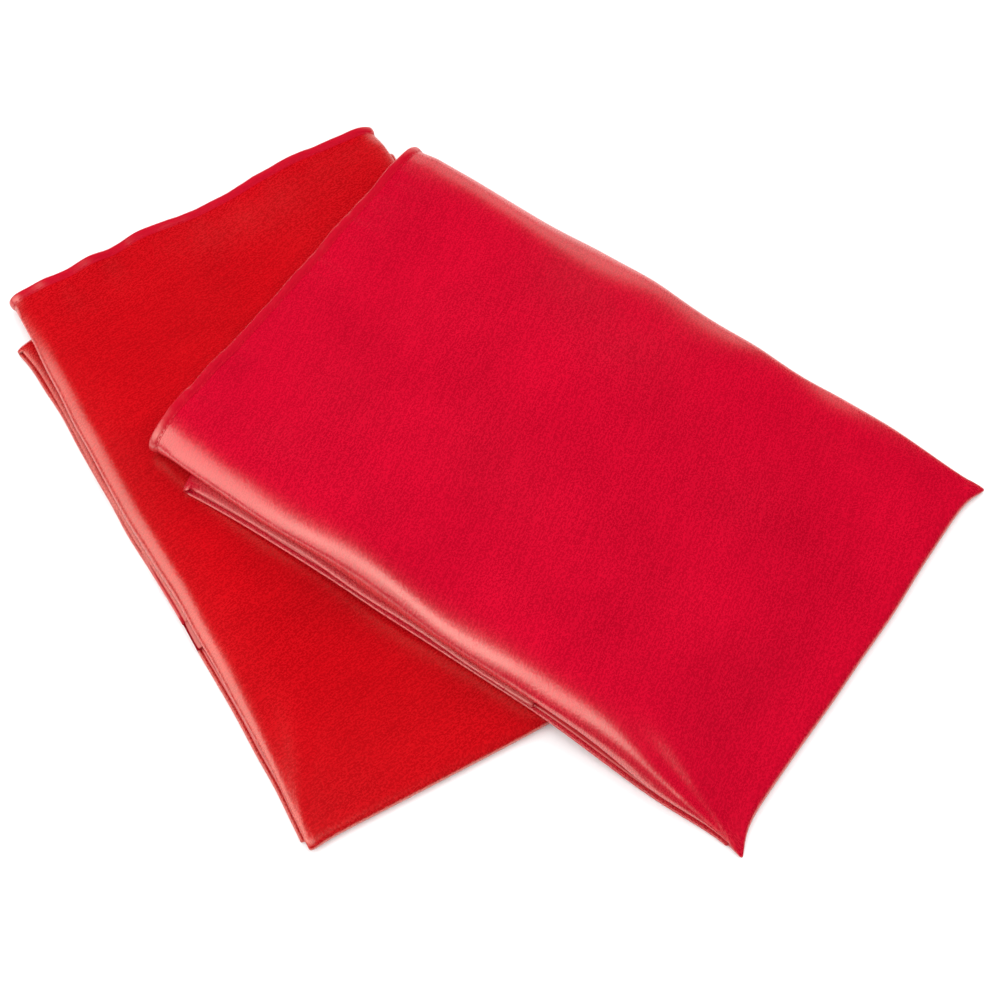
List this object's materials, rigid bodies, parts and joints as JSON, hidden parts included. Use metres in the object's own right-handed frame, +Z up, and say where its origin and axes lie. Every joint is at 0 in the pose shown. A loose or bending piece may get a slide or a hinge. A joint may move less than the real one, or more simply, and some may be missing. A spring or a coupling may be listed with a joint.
{
  "type": "folded superhero cape",
  "caption": "Shiny satin costume capes folded into flat rectangular bundles, one lying diagonally across the other, with a narrow turned hem at one end.",
  "frame": {"origin": "middle of the two bundles' outline, on the table they lie on", "axes": "+X to the right, towards the upper cape's plain fold; +Y away from the front; +Z up, through the layers"},
  "size_m": [0.5358, 0.4358, 0.0352],
  "materials": {
    "satin": "glossy satin weave",
    "hem": "glossy satin, turned twice",
    "thread": "matt polyester thread",
    "band": "glossy satin, folded strip",
    "hook_tape": "matt woven hook tape",
    "loop_tape": "matt woven loop tape"
  },
  "bodies": {
    "lower_cape": {"lower_bottom_leaf": "satin", "lower_tail_leaf": "satin", "lower_top_leaf": "satin", "lower_hem": "hem", "lower_hem_thread": "thread", "lower_neck_band": "band", "lower_hook_tab": "hook_tape", "lower_loop_tab": "loop_tape"},
    "upper_cape": {"upper_bottom_leaf": "satin", "upper_tail_leaf": "satin", "upper_neck_band": "band", "upper_hook_tab": "hook_tape", "upper_loop_tab": "loop_tape"},
    "upper_cover": {"upper_top_leaf": "satin", "upper_hem": "hem", "upper_hem_thread": "thread"}
  },
  "joints": [
    {"name": "upper_lift", "type": "slide", "parent": "lower_cape", "child": "upper_cape", "axis": [0, 0, 1], "range_m": [0, 0.3]},
    {"name": "upper_open", "type": "hinge", "parent": "upper_cape", "child": "upper_cover", "pos_m": [0.19914, -0.12327, 0.00367], "axis": [0.5678, 0.8231, 0], "range_deg": [0, 170]}
  ]
}
